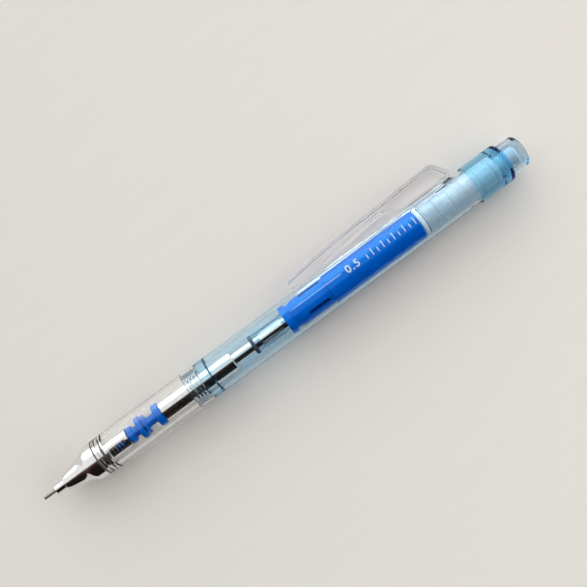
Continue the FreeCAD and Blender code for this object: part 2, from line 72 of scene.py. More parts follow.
MM = 0.001
CAD_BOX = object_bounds()
SIDES = 96          # faces round a turned piece
FINE_SIDES = 48     # the same on the thin nose pipe
ROD_SIDES = 24      # the same on leads and pins
SAME = 1e-4         # places closer together than this are one place, in mm
LEAD_RADIUS = 0.28
PIPE_REAR = 9.0     # rear end of the fixed lead pipe, where the rubber retainer starts, in mm from the tip
RETAINER_REAR = 11.0
PIPE_RADIUS, PIPE_BORE = 0.4, 0.3
TUBE_FRONT, TUBE_REAR, TUBE_RADIUS = 35.2, 77.0, 1.7     # the lead pipe between the chuck and the tank
SHELL_SEAM = 49.65  # where the grip ends and the barrel's full width starts
TIP_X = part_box("tip_pipe")[0].x
KNOB_LOW, KNOB_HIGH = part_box("twist_knob")
AXIS_Y = (KNOB_LOW.y + KNOB_HIGH.y) / 2
AXIS_Z = (KNOB_LOW.z + KNOB_HIGH.z) / 2
CLIP_ROLL = math.radians(15.5)   # the clip points this far below the horizontal


# ------------------------------------------------------------------------------------ sizes and places
def extent(node):
    """(front, rear, radius) of a turned CAD node in mm, measured from the writing tip."""
    low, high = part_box(node)
    return (low.x - TIP_X) / MM, (high.x - TIP_X) / MM, (high.z - low.z) / 2 / MM


def place(bm):
    """Moves a mesh that was drawn in mm from the tip to the pencil's place, turned to the clip's side."""
    bmesh.ops.rotate(bm, verts=bm.verts, cent=(0, 0, 0), matrix=Matrix.Rotation(-CLIP_ROLL, 3, "X"))
    bmesh.ops.scale(bm, verts=bm.verts, vec=(MM, MM, MM))
    bmesh.ops.translate(bm, verts=bm.verts, vec=(TIP_X, AXIS_Y, AXIS_Z))


def finish_piece(bm, name, material, body, nodes=(), crease=35.0):
    """Turns the mesh into a smooth-shaded piece that rides on its body and stands for its CAD nodes."""
    place(bm)
    bmesh.ops.recalc_face_normals(bm, faces=bm.faces)
    for face in bm.faces:
        face.smooth = True
    mesh = bpy.data.meshes.new(name)
    bm.to_mesh(mesh)
    bm.free()
    mesh.set_sharp_from_angle(angle=math.radians(crease))
    mesh.materials.append(material)
    piece = bpy.data.objects.new(name, mesh)
    bpy.context.scene.collection.objects.link(piece)
    even = piece.modifiers.new("even_shading", "WEIGHTED_NORMAL")   # long walls stay straight to the eye
    even.keep_sharp = True
    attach(piece, body)
    if nodes:
        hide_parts(*nodes)
    return piece


# ------------------------------------------------------------------------------------- mesh operations
def radius_of(vert):
    return math.hypot(vert.co.y, vert.co.z)


def round_rings(bm, corners, segments):
    """Bevels the full rings of a turned mesh, each corner by its own rounding."""
    for x, radius, rounding in corners:
        if rounding <= 0:
            continue
        ring = [edge for edge in bm.edges
                if all(abs(v.co.x - x) < SAME and abs(radius_of(v) - radius) < SAME for v in edge.verts)]
        bmesh.ops.bevel(bm, geom=ring, offset=rounding, offset_type="OFFSET", segments=segments,
                        profile=0.5, affect="EDGES", clamp_overlap=True, material=-1)


def cut_windows(bm, front, rear, width, angles):
    """Straight windows through a tube's wall, front to rear, at these angles round the axis."""
    for x in (front, rear):
        bmesh.ops.bisect_plane(bm, geom=bm.verts[:] + bm.edges[:] + bm.faces[:], dist=1e-5,
                               plane_co=(x, 0, 0), plane_no=(1, 0, 0))
    for angle in angles:
        toward = Vector((0, -math.sin(angle), math.cos(angle)))
        opened = []
        for face in bm.faces:
            middle = face.calc_center_median()
            spoke = Vector((0, middle.y, middle.z))
            across = abs(spoke.cross(toward).x)
            between = front + SAME < middle.x < rear - SAME
            if between and spoke.dot(toward) > 0 and across < width / 2:
                opened.append(face)
        rim = {edge for face in opened for edge in face.edges
               if any(other not in opened for other in edge.link_faces)}
        bmesh.ops.delete(bm, geom=opened, context="FACES")
        rim = [edge for edge in rim if edge.is_valid and edge.is_boundary]
        bmesh.ops.bridge_loops(bm, edges=rim)


def turned(corners, sides=SIDES, rounding=0.06, segments=2, windows=()):
    """A turned mesh from its half section: corners of (x, radius) or (x, radius, rounding), in mm."""
    bm = bmesh.new()
    full = [(c[0], c[1], c[2] if len(c) == 3 else rounding) for c in corners]
    points = [bm.verts.new((x, 0, radius)) for x, radius, _ in full]
    edges = [bm.edges.new((point, points[i - 1])) for i, point in enumerate(points)
             if full[i][1] > 0 or full[i - 1][1] > 0]      # nothing runs along the axis itself
    bmesh.ops.spin(bm, geom=points + edges, cent=(0, 0, 0), axis=(1, 0, 0), dvec=(0, 0, 0),
                   angle=math.tau, steps=sides, use_merge=True, use_duplicate=False)
    bmesh.ops.remove_doubles(bm, verts=bm.verts, dist=1e-5)
    bmesh.ops.recalc_face_normals(bm, faces=bm.faces)
    round_rings(bm, [c for c in full if c[1] > 0], segments)
    for front, rear, width, angles in windows:
        cut_windows(bm, front, rear, width, angles)
    return bm


def tube_corners(front, rear, outer, bore):
    """The half section of a plain tube."""
    return [(front, bore), (rear, bore), (rear, outer), (front, outer)]


def v_groove(rear, radius, width, depth):
    """The corners of a small groove round a turned piece, from its rear edge to its front edge."""
    return [(rear, radius, 0.02), (rear - width / 2, radius - depth, 0.02), (rear - width, radius, 0.02)]


def coil(front, rear, radius, wire, turns):
    """A helical spring of round wire."""
    bm = bmesh.new()
    ends = bmesh.ops.create_circle(bm, cap_ends=True, segments=10, radius=wire)
    bmesh.ops.rotate(bm, verts=ends["verts"], cent=(0, 0, 0), matrix=Matrix.Rotation(math.pi / 2, 3, "Y"))
    bmesh.ops.rotate(bm, verts=ends["verts"], cent=(0, 0, 0), matrix=Matrix.Rotation(math.pi / 2, 3, "Z"))
    bmesh.ops.translate(bm, verts=ends["verts"], vec=(front, 0, radius))
    steps_a_turn = 28
    steps = int(turns * steps_a_turn)
    bmesh.ops.spin(bm, geom=bm.faces[:] + bm.edges[:] + bm.verts[:], cent=(0, 0, 0), axis=(1, 0, 0),
                   dvec=((rear - front) / steps, 0, 0), angle=math.tau * turns, steps=steps)
    return bm


def ring_angles(count, start=0.0):
    """Angles spread evenly round the axis."""
    return [start + math.tau * i / count for i in range(count)]


def arc_points(start, bulge, end, count):
    """Points of a smooth curve from start to end that is pulled towards bulge, start left out."""
    points = []
    for i in range(1, count + 1):
        t = i / count
        a, b, c = (1 - t) ** 2, 2 * t * (1 - t), t * t
        points.append((a * start[0] + b * bulge[0] + c * end[0], a * start[1] + b * bulge[1] + c * end[1]))
    return points


# ------------------------------------------------------------------------------------------- materials
def srgb(code):
    """An sRGB hex value as linear colour, opaque."""
    channels = [int(code[i:i + 2], 16) / 255 for i in (1, 3, 5)]
    linear = [c / 12.92 if c <= 0.04045 else ((c + 0.055) / 1.055) ** 2.4 for c in channels]
    return (*linear, 1.0)


def add(tree, kind, inputs=None, **settings):
    """Adds a node with its settings; an input is a plain value or the socket that feeds it."""
    node = tree.nodes.new(kind)
    for key, value in settings.items():
        setattr(node, key, value)
    for key, value in (inputs or {}).items():
        if isinstance(value, bpy.types.NodeSocket):
            tree.links.new(value, node.inputs[key])
        else:
            node.inputs[key].default_value = value
    return node


def new_material(name):
    """A material with an empty tree, its output, and a pattern space in millimetres."""
    material = bpy.data.materials.new(name)
    material.use_nodes = True
    tree = material.node_tree
    tree.nodes.clear()
    output = add(tree, "ShaderNodeOutputMaterial")
    place_node = add(tree, "ShaderNodeTexCoord")
    in_mm = add(tree, "ShaderNodeMapping", {"Vector": place_node.outputs["Object"],
                                            "Scale": (1 / MM,) * 3})
    return material, tree, output, in_mm.outputs["Vector"]


def varied(tree, factor, low, high):
    """A number that wanders between low and high with a pattern."""
    spread = add(tree, "ShaderNodeMapRange", {"Value": factor, "To Min": low, "To Max": high})
    return spread.outputs["Result"]


def chrome_plate():
    """Bright chromium plate on turned brass: a mirror with a faint haze and fine rings left by the lathe."""
    material, tree, output, mm = new_material("bright_chrome_plate")
    haze = add(tree, "ShaderNodeTexNoise", {"Vector": mm, "Scale": 0.6, "Detail": 4.0})
    along = add(tree, "ShaderNodeMapping", {"Vector": mm, "Scale": (9.0, 0.2, 0.2)})
    rings = add(tree, "ShaderNodeTexNoise", {"Vector": along.outputs["Vector"], "Scale": 1.0,
                                             "Detail": 3.0})
    bump = add(tree, "ShaderNodeBump", {"Height": rings.outputs["Fac"], "Strength": 0.03,
                                        "Distance": 0.02 * MM})
    tint = add(tree, "ShaderNodeMix", {"Factor": haze.outputs["Fac"], "A": srgb("#DDE0E3"),
                                       "B": srgb("#F3F2EF")}, data_type="RGBA")
    shader = add(tree, "ShaderNodeBsdfPrincipled", {
        "Base Color": tint.outputs["Result"], "Metallic": 1.0,
        "Roughness": varied(tree, haze.outputs["Fac"], 0.05, 0.13), "Normal": bump.outputs["Normal"]})
    tree.links.new(shader.outputs["BSDF"], output.inputs["Surface"])
    return material


def drawn_steel(name, code, low, high):
    """Drawn stainless steel: dull bright metal with fine lines along the drawing direction."""
    material, tree, output, mm = new_material(name)
    drawn = add(tree, "ShaderNodeMapping", {"Vector": mm, "Scale": (0.4, 14.0, 14.0)})
    lines = add(tree, "ShaderNodeTexNoise", {"Vector": drawn.outputs["Vector"], "Scale": 1.0,
                                             "Detail": 3.0})
    bump = add(tree, "ShaderNodeBump", {"Height": lines.outputs["Fac"], "Strength": 0.2,
                                        "Distance": 0.01 * MM})
    shader = add(tree, "ShaderNodeBsdfPrincipled", {
        "Base Color": srgb(code), "Metallic": 1.0,
        "Roughness": varied(tree, lines.outputs["Fac"], low, high), "Normal": bump.outputs["Normal"]})
    tree.links.new(shader.outputs["BSDF"], output.inputs["Surface"])
    return material


def clear_plastic(name, code, shade, rough=0.02, ior=1.42, ripple=0.05, gloss=0.5, glint="#FFFFFF",
                  dye=None, depth=200.0):
    """Clear moulded styrene: sharp gloss, slow ripples where the melt flowed, and sparse fine scuffs.
    Lamps pass through it with its tint, so what is inside is lit as through real clear plastic. A dye
    deepens the colour where the wall is thick."""
    material, tree, output, mm = new_material(name)
    flow = add(tree, "ShaderNodeMapping", {"Vector": mm, "Scale": (0.10, 0.5, 0.5)})
    waves = add(tree, "ShaderNodeTexNoise", {"Vector": flow.outputs["Vector"], "Scale": 1.0, "Detail": 2.0})
    scuffs = add(tree, "ShaderNodeTexNoise", {"Vector": mm, "Scale": 2.5, "Detail": 6.0})
    bump = add(tree, "ShaderNodeBump", {"Height": waves.outputs["Fac"], "Strength": ripple,
                                        "Distance": 0.2 * MM})
    shader = add(tree, "ShaderNodeBsdfPrincipled", {
        "Base Color": srgb(code), "Roughness": varied(tree, scuffs.outputs["Fac"], rough, rough * 3),
        "IOR": ior, "Specular IOR Level": gloss, "Specular Tint": srgb(glint), "Transmission Weight": 1.0,
        "Normal": bump.outputs["Normal"]})
    lamp_way = add(tree, "ShaderNodeBsdfTransparent", {"Color": srgb(shade)})
    rays = add(tree, "ShaderNodeLightPath")
    mix = add(tree, "ShaderNodeMixShader", {0: rays.outputs["Is Shadow Ray"], 1: shader.outputs["BSDF"],
                                            2: lamp_way.outputs["BSDF"]})
    tree.links.new(mix.outputs["Shader"], output.inputs["Surface"])
    if dye:
        body = add(tree, "ShaderNodeVolumeAbsorption", {"Color": srgb(dye), "Density": depth})
        tree.links.new(body.outputs["Volume"], output.inputs["Volume"])
    return material


def moulded_blue():
    """Saturated blue acetal: gloss skin with a soft mould grain and slightly paler clouds."""
    material, tree, output, mm = new_material("moulded_blue_acetal")
    cloud = add(tree, "ShaderNodeTexNoise", {"Vector": mm, "Scale": 0.35, "Detail": 3.0})
    grain = add(tree, "ShaderNodeTexNoise", {"Vector": mm, "Scale": 12.0, "Detail": 4.0})
    bump = add(tree, "ShaderNodeBump", {"Height": grain.outputs["Fac"], "Strength": 0.08,
                                        "Distance": 0.02 * MM})
    tint = add(tree, "ShaderNodeMix", {"Factor": cloud.outputs["Fac"], "A": srgb("#005AC2"),
                                       "B": srgb("#006AD0")}, data_type="RGBA")
    shader = add(tree, "ShaderNodeBsdfPrincipled", {
        "Base Color": tint.outputs["Result"], "Roughness": varied(tree, cloud.outputs["Fac"], 0.14, 0.2),
        "IOR": 1.5, "Specular IOR Level": 0.5, "Specular Tint": srgb("#00CCFF"),
        "Normal": bump.outputs["Normal"]})
    tree.links.new(shader.outputs["BSDF"], output.inputs["Surface"])
    return material


def pearl_plastic(name, light, dark, metallic, low, high):
    """Pearl-filled moulded plastic: pale, satin, with a silvery sheen from the flakes in it."""
    material, tree, output, mm = new_material(name)
    flakes = add(tree, "ShaderNodeTexVoronoi", {"Vector": mm, "Scale": 7.0})
    cloud = add(tree, "ShaderNodeTexNoise", {"Vector": mm, "Scale": 0.8, "Detail": 3.0})
    bump = add(tree, "ShaderNodeBump", {"Height": flakes.outputs["Distance"], "Strength": 0.05,
                                        "Distance": 0.02 * MM})
    tint = add(tree, "ShaderNodeMix", {"Factor": cloud.outputs["Fac"], "A": srgb(light), "B": srgb(dark)},
               data_type="RGBA")
    shader = add(tree, "ShaderNodeBsdfPrincipled", {
        "Base Color": tint.outputs["Result"], "Metallic": metallic,
        "Roughness": varied(tree, cloud.outputs["Fac"], low, high), "Normal": bump.outputs["Normal"]})
    tree.links.new(shader.outputs["BSDF"], output.inputs["Surface"])
    return material


def matte_solid(name, light, dark, low, high, scale, depth):
    """A dull solid with fine grain, such as rubber, vinyl, graphite, ink, a pale painted highlight line, or
    painted shade in a groove's root.
    """
    material, tree, output, mm = new_material(name)
    grain = add(tree, "ShaderNodeTexNoise", {"Vector": mm, "Scale": scale, "Detail": 5.0})
    bump = add(tree, "ShaderNodeBump", {"Height": grain.outputs["Fac"], "Strength": 0.3,
                                        "Distance": depth * MM})
    tint = add(tree, "ShaderNodeMix", {"Factor": grain.outputs["Fac"], "A": srgb(light), "B": srgb(dark)},
               data_type="RGBA")
    shader = add(tree, "ShaderNodeBsdfPrincipled", {
        "Base Color": tint.outputs["Result"], "Roughness": varied(tree, grain.outputs["Fac"], low, high),
        "Normal": bump.outputs["Normal"]})
    tree.links.new(shader.outputs["BSDF"], output.inputs["Surface"])
    return material


def turned_brass():
    """Turned brass: warm yellow metal with close tool rings."""
    material, tree, output, mm = new_material("turned_brass")
    along = add(tree, "ShaderNodeMapping", {"Vector": mm, "Scale": (16.0, 0.3, 0.3)})
    rings = add(tree, "ShaderNodeTexNoise", {"Vector": along.outputs["Vector"], "Scale": 1.0,
                                             "Detail": 2.0})
    bump = add(tree, "ShaderNodeBump", {"Height": rings.outputs["Fac"], "Strength": 0.2,
                                        "Distance": 0.01 * MM})
    shader = add(tree, "ShaderNodeBsdfPrincipled", {
        "Base Color": srgb("#CBAA5E"), "Metallic": 1.0,
        "Roughness": varied(tree, rings.outputs["Fac"], 0.18, 0.32), "Normal": bump.outputs["Normal"]})
    tree.links.new(shader.outputs["BSDF"], output.inputs["Surface"])
    return material


FINISHES = {
    "chrome_plate": chrome_plate,
    "pipe_steel": lambda: drawn_steel("drawn_steel_pipe", "#8E8B88", 0.25, 0.4),
    "spring_steel": lambda: drawn_steel("spring_wire", "#9A9A9C", 0.2, 0.35),
    "chuck_brass": turned_brass,
    "clear_grip": lambda: clear_plastic("clear_styrene_grip", "#FBFCFC", "#F2F3F3"),
    "clear_clip": lambda: clear_plastic("clear_styrene_clip", "#FAFAFC", "#F8F8FA", rough=0.03, ior=1.3,
                                        ripple=0.08),
    "clear_cap": lambda: clear_plastic("clear_styrene_cap", "#D6E7F3", "#E3EFF7", rough=0.05, ior=1.16),
    "blue_clear_barrel": lambda: clear_plastic("pale_blue_styrene", "#FDFEFF", "#FBFDFF", gloss=0.35,
                                               glint="#8FCCF6", dye="#3FD6FB", depth=190.0),
    "blue_clear_knob": lambda: clear_plastic("sky_blue_styrene", "#DDF2F8", "#EEF9FD", rough=0.05,
                                             ior=1.2, dye="#35D6FA", depth=450.0),
    "blue_core": moulded_blue,
    "natural_plastic": lambda: pearl_plastic("pearl_white_plastic", "#CBD6DF", "#B9C7D2", 0.1, 0.22, 0.32),
    "white_plastic": lambda: pearl_plastic("white_acetal", "#F0F2F3", "#E4E8EA", 0.0, 0.35, 0.5),
    "dark_stop": lambda: matte_solid("dark_acetal_ring", "#3A414B", "#2A3038", 0.35, 0.5, 6.0, 0.01),
    # painted shade: a dark matte put in the roots of the nose's grooves
    "painted_groove_shade": lambda: matte_solid("painted_groove_shade_matte", "#5A5856", "#454343", 0.5, 0.65, 10.0, 0.01),
    "retainer_rubber": lambda: matte_solid("nitrile_rubber", "#1E1E1F", "#141415", 0.6, 0.8, 8.0, 0.02),
    "graphite": lambda: matte_solid("graphite_lead", "#2C2C2F", "#1F1F22", 0.35, 0.5, 20.0, 0.005),
    "white_vinyl": lambda: matte_solid("white_vinyl_eraser", "#F2F1EE", "#E6E5E1", 0.6, 0.8, 5.0, 0.03),
    # ink for the print, also used for a pale line painted on the barrel as a highlight
    "print_ink_and_painted_highlight": lambda: matte_solid("pale_grey_ink_and_painted_highlight", "#B9CDDE", "#A3BACD", 0.5, 0.65, 14.0, 0.004),
}
MADE = {}


def finish(slot):
    """The material of a slot, made once."""
    if slot not in MADE:
        MADE[slot] = FINISHES[slot]()
    return MADE[slot]


# --------------------------------------------------------------------------------------------- settings
class PencilSizes(bpy.types.PropertyGroup):
    """Sizes that a user may change."""
    nose_round: bpy.props.FloatProperty(
        name="Nose rounding", description="Rounding of the chrome shoulder, in mm", default=0.7, min=0.1)
    wall: bpy.props.FloatProperty(
        name="Grip wall", description="Wall of the clear grip, in mm", default=1.4, min=0.4)
    thread_pitch: bpy.props.FloatProperty(
        name="Thread pitch", description="Pitch of the barrel's thread, in mm", default=0.9, min=0.3)
    print_size: bpy.props.FloatProperty(
        name="Print size", description="Height of the printed lead size, in mm", default=2.0, min=0.5)
    ring_spacing: bpy.props.FloatProperty(
        name="Ring spacing", description="Spacing of the rings on the spiral sleeve, in mm", default=4.2,
        min=1.0)


class StageSettings(bpy.types.PropertyGroup):
    """Floor, light and camera."""
    floor_colour: bpy.props.FloatVectorProperty(
        name="Floor colour", description="Colour of the pale floor", subtype="COLOR", size=4,
        default=srgb("#DBD7D2"), min=0.0, max=1.0)
    bright_side: bpy.props.FloatVectorProperty(
        name="Bright side", description="Colour of the room on the window's side", subtype="COLOR", size=4,
        default=srgb("#FBFBFA"), min=0.0, max=1.0)
    dark_side: bpy.props.FloatVectorProperty(
        name="Dark side", description="Colour of the room away from the window", subtype="COLOR", size=4,
        default=srgb("#1B1817"), min=0.0, max=1.0)
    sky_strength: bpy.props.FloatProperty(
        name="Room light", description="Strength of the light of the room", default=0.98, min=0.0)
    window_gain: bpy.props.FloatProperty(
        name="Window gain", description="How much brighter the low window is than the room", default=2.9,
        min=1.0)
    box_power: bpy.props.FloatProperty(
        name="Soft box power", description="Power of the large soft box, in watts", default=1.75, min=0.0)
    fill_power: bpy.props.FloatProperty(
        name="Fill power", description="Power of the fill light, in watts", default=2.9, min=0.0)
    view_width: bpy.props.FloatProperty(
        name="View width", description="Width of the view at the pencil", subtype="DISTANCE",
        default=0.14675, min=0.01)
    camera_height: bpy.props.FloatProperty(
        name="Camera height", description="Height of the camera above the floor", subtype="DISTANCE",
        default=0.225, min=0.05)
    camera_turn: bpy.props.FloatProperty(
        name="Camera turn", description="Turn of the camera about the vertical", subtype="ANGLE",
        default=math.radians(-36.3))


# ---------------------------------------------------------------------------------------------- nose
class PENCIL_OT_nose(bpy.types.Operator):
    """Chrome nose cone with its fixed lead pipe and rubber retainer"""
    bl_idname = "pencil.nose"
    bl_label = "Nose"

    def execute(self, context):
        sizes = context.scene.pencil_sizes
        front, rear, bore, shank = 3.6, 20.2, 2.55, 4.0
        seam, radius = extent("front_grip")[0], 4.85
        inside = [(front, 0.42, 0.05), (PIPE_REAR, 0.42, 0), (PIPE_REAR, 1.35, 0), (RETAINER_REAR, 1.35, 0),
                  (RETAINER_REAR, 1.7, 0), (14.2, 1.7, 0), (14.2, bore, 0), (rear, bore)]
        behind_seam = [(rear, shank)] + v_groove(19.9, shank, 0.5, 0.3) + v_groove(19.1, shank, 0.5, 0.3)
        outside = [(seam, shank, 0.02), (seam, radius, 0.05)] + v_groove(seam - 0.1, radius, 0.4, 0.25)
        outside += [(14.55, radius, sizes.nose_round), (12.9, 3.72, 0.5), (11.9, 3.3, 0.4),
                    (7.9, 2.45, 0.5), (6.6, 2.05, 0.25), (6.6, 1.3, 0.05), (front, 1.3, 0.25)]
        cone = turned(inside + behind_seam + outside, segments=4)
        # the sloped faces in these groove roots take a dark matte: painted shade, not the chrome's own
        # colour
        painted_shade_roots = ((seam - 0.5, seam - 0.1), (19.4, 19.9))
        for face in cone.faces:
            middle = face.calc_center_median()
            sloped = 0.3 < abs(face.normal.x) < 0.95
            on_outside = math.hypot(middle.y, middle.z) > shank - 0.4
            if sloped and on_outside and any(low < middle.x < high for low, high in painted_shade_roots):
                face.material_index = 1
        nose = finish_piece(cone, "nose_cone", finish("chrome_plate"), "shell", ["tip_cone"])
        nose.data.materials.append(finish("painted_groove_shade"))
        pipe = turned(tube_corners(0.0, PIPE_REAR, PIPE_RADIUS, PIPE_BORE), sides=FINE_SIDES, rounding=0.03)
        finish_piece(pipe, "nose_pipe", finish("pipe_steel"), "shell", ["tip_pipe"])
        retainer = turned(tube_corners(PIPE_REAR, RETAINER_REAR, 1.35, PIPE_BORE), sides=FINE_SIDES)
        finish_piece(retainer, "retainer_plug", finish("retainer_rubber"), "shell",
                     ["lead_retainer"])
        return {"FINISHED"}


class PENCIL_OT_grip(bpy.types.Operator):
    """Clear front grip, screwed on the nose and on the barrel"""
    bl_idname = "pencil.grip"
    bl_label = "Grip"

    def execute(self, context):
        sizes = context.scene.pencil_sizes
        front, rear, radius = extent("front_grip")
        bore = radius - sizes.wall
        nose_socket, thread_socket = 4.05, 4.53
        inside = [(front, nose_socket)] + v_groove(18.7, nose_socket, 0.4, -0.25)[::-1]
        inside += v_groove(19.6, nose_socket, 0.4, -0.25)[::-1]
        inside += [(20.2, nose_socket), (20.6, bore, 0.1), (45.3, bore, 0.1), (45.5, thread_socket),
                   (rear, thread_socket)]
        outside = [(rear, radius, 0.04), (26.0, radius, 0), (front, 4.85, 0.12)]
        grip = turned(inside + outside, segments=3)
        finish_piece(grip, "grip_shell", finish("clear_grip"), "shell", ["front_grip"])
        return {"FINISHED"}


class PENCIL_OT_barrel(bpy.types.Operator):
    """Pale blue clear barrel with its male thread, rear neck and clip slot"""
    bl_idname = "pencil.barrel"
    bl_label = "Barrel"

    def execute(self, context):
        sizes = context.scene.pencil_sizes
        front, rear, radius = extent("barrel")
        crest, root, bore, neck = 4.5, 4.15, 4.25, 4.65
        neck_front, thread_bore = 128.9, 3.6
        thread = []
        for turn in range(4):
            x = front + 0.35 + turn * sizes.thread_pitch
            thread += [(x, crest, 0.03), (x + 0.25, root, 0.03), (x + 0.5, crest, 0.03)]
        corners = [(front, crest)] + thread + [
            (SHELL_SEAM, crest, 0), (SHELL_SEAM, radius, 0.04), (neck_front, radius, 0.12),
            (neck_front, neck, 0.05), (rear, neck, 0.1), (rear, bore, 0.05), (52.6, bore, 0.1),
            (52.0, thread_bore, 0.1), (front, thread_bore)]
        clip_slot = (116.2, 127.4, 2.6, [-math.pi / 2])
        barrel = turned(corners, segments=3, windows=[clip_slot])
        finish_piece(barrel, "barrel_shell", finish("blue_clear_barrel"), "shell",
                     ["barrel"])
        return {"FINISHED"}


class PENCIL_OT_print(bpy.types.Operator):
    """Printed lead size and tick lines on the barrel, and a pale line painted on it as a highlight"""
    bl_idname = "pencil.print"
    bl_label = "Print"

    def execute(self, context):
        height = context.scene.pencil_sizes.print_size
        radius = extent("barrel")[2] - 0.02      # the ink starts just inside the wall, so no gap shows
        ink = 0.035
        digit_share = 0.7                        # height of a digit as a share of the font's size
        tick_pitch, tick_width = 1.6, 0.25
        curve = bpy.data.curves.new("lead_size_text", "FONT")
        curve.body = "0.5"
        curve.size = height / digit_share
        curve.space_character = 1.2
        curve.offset = 0.05
        text = bpy.data.objects.new("lead_size_text", curve)
        bpy.context.scene.collection.objects.link(text)
        bpy.context.view_layer.update()
        flat = bpy.data.meshes.new_from_object(text)
        bm = bmesh.new()
        bm.from_mesh(flat)
        bpy.data.objects.remove(text)
        bpy.data.curves.remove(curve)
        bpy.data.meshes.remove(flat)
        bmesh.ops.translate(bm, verts=bm.verts, vec=(94.0, -height / 2, 0))
        # the first mark is a thin pale line along the barrel: a painted highlight, not print; the rest are
        # print ticks
        ticks_and_painted_highlight = [(77.4, 92.6, -0.06, 0.06)]
        for number in range(14):
            front = 100.2 + tick_pitch * number
            ticks_and_painted_highlight.append((front, front + tick_width, -height / 2, height * (0.5 if number % 2 else 0.1)))
        for front, rear, low, high in ticks_and_painted_highlight:
            line = bmesh.ops.create_grid(bm, x_segments=1, y_segments=2, size=0.5)
            bmesh.ops.scale(bm, verts=line["verts"], vec=(rear - front, high - low, 1))
            bmesh.ops.translate(bm, verts=line["verts"], vec=((front + rear) / 2, (low + high) / 2, 0))
        bmesh.ops.triangulate(bm, faces=bm.faces)
        bmesh.ops.subdivide_edges(bm, edges=[e for e in bm.edges if e.calc_length() > 0.3], cuts=2)
        turn = math.radians(17.5) - CLIP_ROLL
        for vert in bm.verts:
            angle = vert.co.y / radius + turn
            vert.co = Vector((vert.co.x, radius * math.sin(angle), radius * math.cos(angle)))
        bmesh.ops.recalc_face_normals(bm, faces=bm.faces)
        grown = bmesh.ops.extrude_face_region(bm, geom=bm.faces[:], use_keep_orig=True)
        for vert in (item for item in grown["geom"] if isinstance(item, bmesh.types.BMVert)):
            vert.co.yz *= (radius + ink) / radius
        finish_piece(bm, "lead_size_print_and_painted_highlight", finish("print_ink_and_painted_highlight"), "shell")
        return {"FINISHED"}


# -------------------------------------------------------------------------------------------- mechanism
class PENCIL_OT_clutch(bpy.types.Operator):
    """Chuck, clutch ring, windowed housing and return spring"""
    bl_idname = "pencil.clutch"
    bl_label = "Clutch"

    def execute(self, context):
        front, rear, radius = extent("chuck_housing")
        housing = turned([(front, 2.0), (19.4, 2.0), (19.4, 2.3), (rear, 2.3), (rear, radius),
                          (front, radius)], windows=[(20.6, 25.4, 1.7, ring_angles(2, 0.5))])
        finish_piece(housing, "housing_tube", finish("chrome_plate"), "shell",
                     ["chuck_housing"])
        spring = coil(19.6, 26.2, 1.8, 0.15, 7.3)
        wire = finish_piece(spring, "chuck_spring", finish("spring_steel"), "shell",
                            ["return_spring"])
        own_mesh(wire)
        ring = turned([(15.0, 1.28), (16.2, 1.28), (16.3, 0.97), (18.2, 0.97), (18.2, 1.95), (15.0, 1.95)])
        finish_piece(ring, "clutch_collar", finish("chuck_brass"), "clutch", ["clutch_ring"])
        jaws = turned([(13.7, 0.3), (24.5, 0.3), (24.5, 0.86), (16.2, 0.86), (16.2, 1.2), (15.6, 1.2),
                       (13.7, 0.95)], windows=[(13.9, 20.0, 0.25, ring_angles(3, math.tau / 12))])
        finish_piece(jaws, "chuck_jaws", finish("chuck_brass"), "push_unit", ["chuck"])
        return {"FINISHED"}


class PENCIL_OT_core(bpy.types.Operator):
    """Blue chuck sleeve, chrome lead pipe, stop ring, connector and lead tank"""
    bl_idname = "pencil.core"
    bl_label = "Core and lead tank"

    def execute(self, context):
        front, rear, radius = extent("chuck_sleeve")
        sleeve = turned([
            (front, 0.86), (24.5, 0.86), (24.5, 0.7), (TUBE_FRONT, 0.7), (TUBE_FRONT, TUBE_RADIUS),
            (rear, TUBE_RADIUS),
            (rear, radius, 0.3), (34.8, radius, 0.3), (34.8, 1.3, 0.1), (31.9, 1.3, 0.05), (31.9, 2.6, 0.1),
            (31.4, 2.6, 0.1), (31.4, 1.3, 0.05), (30.9, 1.3, 0.05), (30.9, radius, 0.2),
            (29.6, radius, 0.3), (29.6, 1.35, 0.1), (27.9, 1.35, 0.1), (27.9, 2.2, 0.2), (26.5, 2.2, 0.2),
            (26.5, 1.35, 0.05), (front, 1.35, 0.15)], segments=3)
        finish_piece(sleeve, "core_sleeve", finish("blue_core"), "push_unit", ["chuck_sleeve"])
        pipe = turned(tube_corners(TUBE_FRONT, TUBE_REAR, TUBE_RADIUS, 1.2))
        finish_piece(pipe, "lead_tube", finish("chrome_plate"), "push_unit", ["lead_pipe"])
        front, rear, radius = extent("pipe_stop_ring")
        stop = turned([(front, TUBE_RADIUS), (rear, TUBE_RADIUS), (rear, radius, 0.2),
                       (front, radius, 0.2)], segments=3)
        finish_piece(stop, "stop_ring", finish("dark_stop"), "push_unit", ["pipe_stop_ring"])
        front, rear, radius = extent("tank_connector")
        joiner = turned(tube_corners(front, rear, radius, TUBE_RADIUS + 0.02),
                        windows=[(front + 1.6, rear - 1.2, 1.6, ring_angles(4, 0.3))])
        finish_piece(joiner, "tank_joiner", finish("clear_cap"), "push_unit",
                     ["tank_connector"])
        front, rear, radius = extent("lead_tank")
        tank = turned([
            (front, TUBE_RADIUS), (TUBE_REAR, TUBE_RADIUS), (80.0, 3.35, 0.3), (rear, 3.35),
            (rear, radius, 1.0), (88.0, radius, 0.12), (88.0, 3.65, 0.1), (78.4, 3.65, 0.3),
            (77.3, 3.3, 0.2), (76.4, 3.3, 0.1), (76.4, 3.85, 0.15), (front, 3.85, 0.35)],
            segments=4, windows=[(80.8, 87.0, 0.8, ring_angles(4, 0.785))])
        finish_piece(tank, "lead_tank_body", finish("blue_core"), "push_unit", ["lead_tank"])
        return {"FINISHED"}


